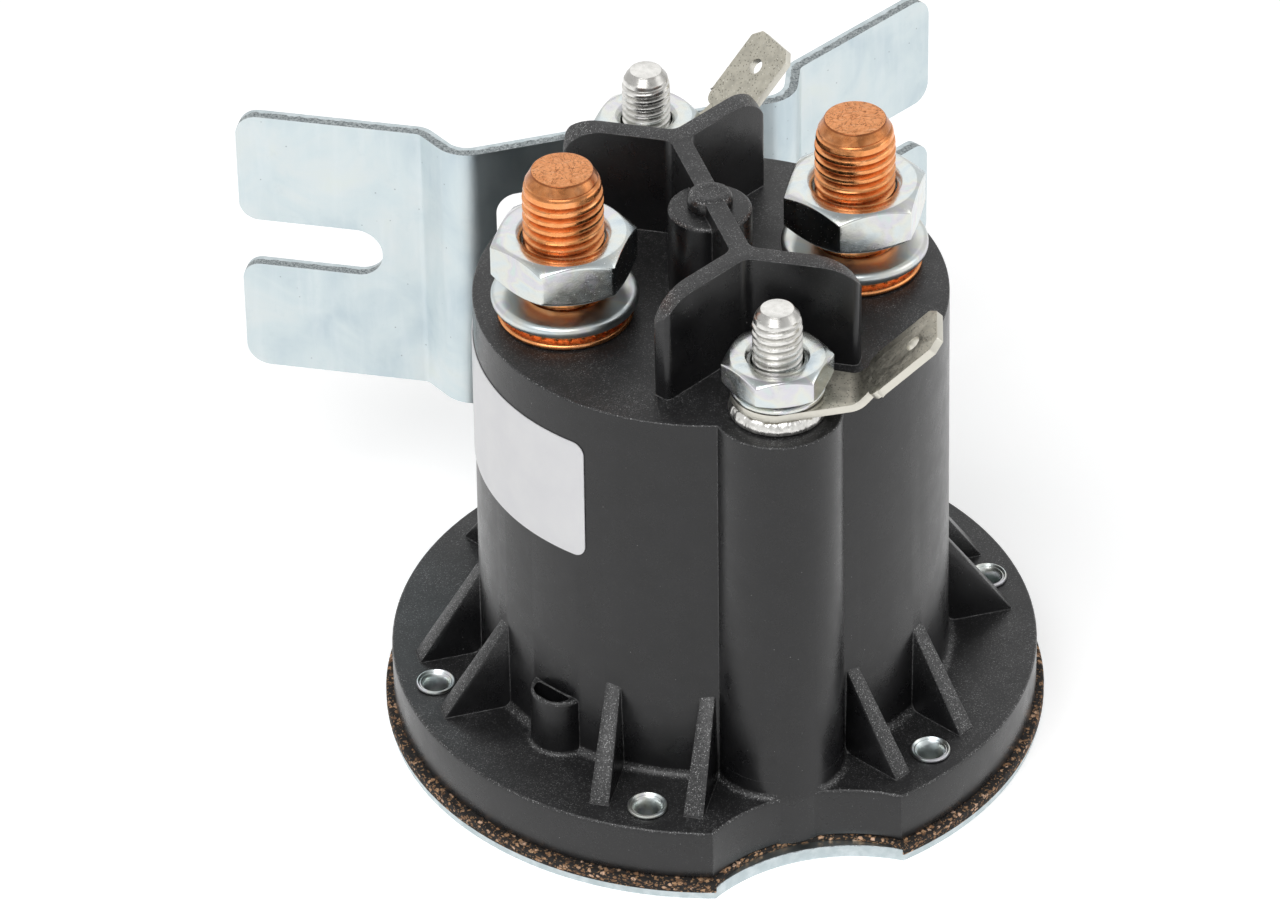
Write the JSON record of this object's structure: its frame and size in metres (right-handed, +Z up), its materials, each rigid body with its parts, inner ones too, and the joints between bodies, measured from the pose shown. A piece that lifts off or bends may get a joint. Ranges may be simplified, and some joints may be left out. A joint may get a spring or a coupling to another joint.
{
  "type": "starter relay",
  "caption": "Starter relay: ribbed black housing on a folded plated base bracket with slotted ears, threaded power studs, coil studs and spade tabs.",
  "frame": {"origin": "on the housing's axis, at the underside of the base plate", "axes": "+X along the line of the power studs, towards the right-hand one; -Y towards the front coil stud, +Y towards the mounting bracket; +Z up along the housing's axis"},
  "size_m": [0.0744, 0.0774, 0.0668],
  "materials": {
    "zinc_plate": "smooth bluish-white zinc plate with a cold, mirror-like sheen",
    "bright_zinc": "bright zinc plate with a faint rainbow tint",
    "black_moulding": "satin black moulded thermoset with fine light specks",
    "cork_rubber": "dark rubber-bound cork with tan chips",
    "label_paper": "plain white satin film",
    "copper": "bright copper, scuffed on the stud ends",
    "tin_plate": "bright tin plate",
    "tab_plate": "dull brownish tin plate with bright sheared edges",
    "soft_steel": "plated soft steel",
    "spring_steel": "drawn spring wire and stamped clips",
    "brass": "thin drawn brass",
    "natural_nylon": "natural off-white nylon",
    "enamelled_wire": "copper wire under brown enamel",
    "rubber": "black rubber"
  },
  "bodies": {
    "relay": {"base_bracket": "zinc_plate", "base_gasket": "cork_rubber", "housing": "black_moulding", "side_label": "label_paper", "eyelet_1": "bright_zinc", "eyelet_2": "bright_zinc", "eyelet_3": "bright_zinc", "eyelet_4": "bright_zinc", "eyelet_5": "bright_zinc", "eyelet_6": "bright_zinc", "left_power_stud": "copper", "right_power_stud": "copper", "left_power_washer": "bright_zinc", "right_power_washer": "bright_zinc", "left_power_nut": "bright_zinc", "right_power_nut": "bright_zinc", "front_coil_stud": "tin_plate", "rear_coil_stud": "tin_plate", "front_tab": "tab_plate", "rear_tab": "tab_plate", "front_lock_washer": "bright_zinc", "rear_lock_washer": "bright_zinc", "front_coil_nut": "bright_zinc", "rear_coil_nut": "bright_zinc", "front_coil_lead": "enamelled_wire", "rear_coil_lead": "enamelled_wire", "yoke_cup": "soft_steel", "top_flux_plate": "soft_steel", "pole_piece": "soft_steel", "coil_bobbin": "natural_nylon", "coil_winding": "enamelled_wire", "plunger_sleeve": "brass", "plunger_bumper": "rubber"},
    "armature": {"plunger": "soft_steel", "plunger_rod": "soft_steel", "spring_clip": "spring_steel", "rod_clip": "spring_steel", "return_spring": "spring_steel", "contact_spring": "spring_steel"},
    "contact_carrier": {"contact_disc": "copper", "disc_bushing": "natural_nylon"}
  },
  "joints": [
    {"name": "armature_slide", "type": "slide", "parent": "relay", "child": "armature", "axis": [0, 0, 1], "range_m": [0, 0.0032], "stiffness_N_per_m": 300, "springref_m": -0.006, "deforming": ["return_spring", "contact_spring"]},
    {"name": "contact_slide", "type": "slide", "parent": "relay", "child": "contact_carrier", "axis": [0, 0, 1], "range_m": [0, 0.00242]}
  ],
  "couplings": [
    {"joint": "contact_slide", "follows": "armature_slide", "ratio": 0.75}
  ]
}
